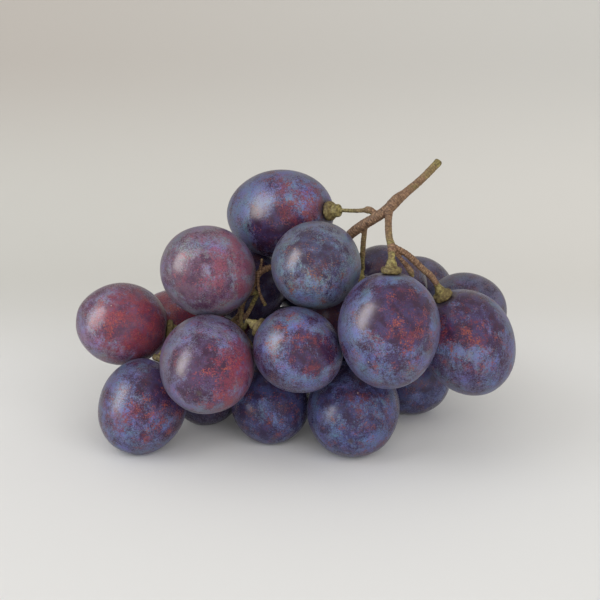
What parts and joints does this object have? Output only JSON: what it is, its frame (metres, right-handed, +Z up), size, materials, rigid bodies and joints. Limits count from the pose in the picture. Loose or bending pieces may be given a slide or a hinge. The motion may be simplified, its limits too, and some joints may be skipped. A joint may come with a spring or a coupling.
{
  "type": "bunch of grapes",
  "caption": "Bunch of dark blue-purple table grapes with waxy bloom, lying on its side, joined by a branched woody stem with a cut peduncle.",
  "frame": {"origin": "on the surface that the bunch lies on, under the middle of the bunch's bounding box", "axes": "+X to the right along the bunch's greatest length, +Y to its back, +Z up; the cut end of the peduncle points up and to the right"},
  "size_m": [0.1162, 0.0919, 0.076],
  "materials": {
    "grape_skin": "dark blue-purple skin under a thin pale waxy bloom, satin, with wine-red patches and rust flecks",
    "stem_bark": "brown ridged bark turning olive green on the pedicels and receptacles, dull"
  },
  "bodies": {
    "root": {"berry_back_far_right": "grape_skin", "berry_back_left": "grape_skin", "berry_back_middle": "grape_skin", "berry_back_right": "grape_skin", "berry_back_upper": "grape_skin", "berry_bottom_back": "grape_skin", "berry_bottom_front": "grape_skin", "berry_bottom_inner": "grape_skin", "berry_bottom_left": "grape_skin", "berry_bottom_middle": "grape_skin", "berry_bottom_right": "grape_skin", "berry_core_low": "grape_skin", "berry_core_right": "grape_skin", "berry_core_upper": "grape_skin", "berry_far_left": "grape_skin", "berry_front_left": "grape_skin", "berry_front_middle": "grape_skin", "berry_front_right": "grape_skin", "berry_front_upper": "grape_skin", "berry_inner_left": "grape_skin", "berry_right": "grape_skin", "berry_top": "grape_skin", "berry_upper_left": "grape_skin", "stem": "stem_bark"}
  },
  "joints": []
}
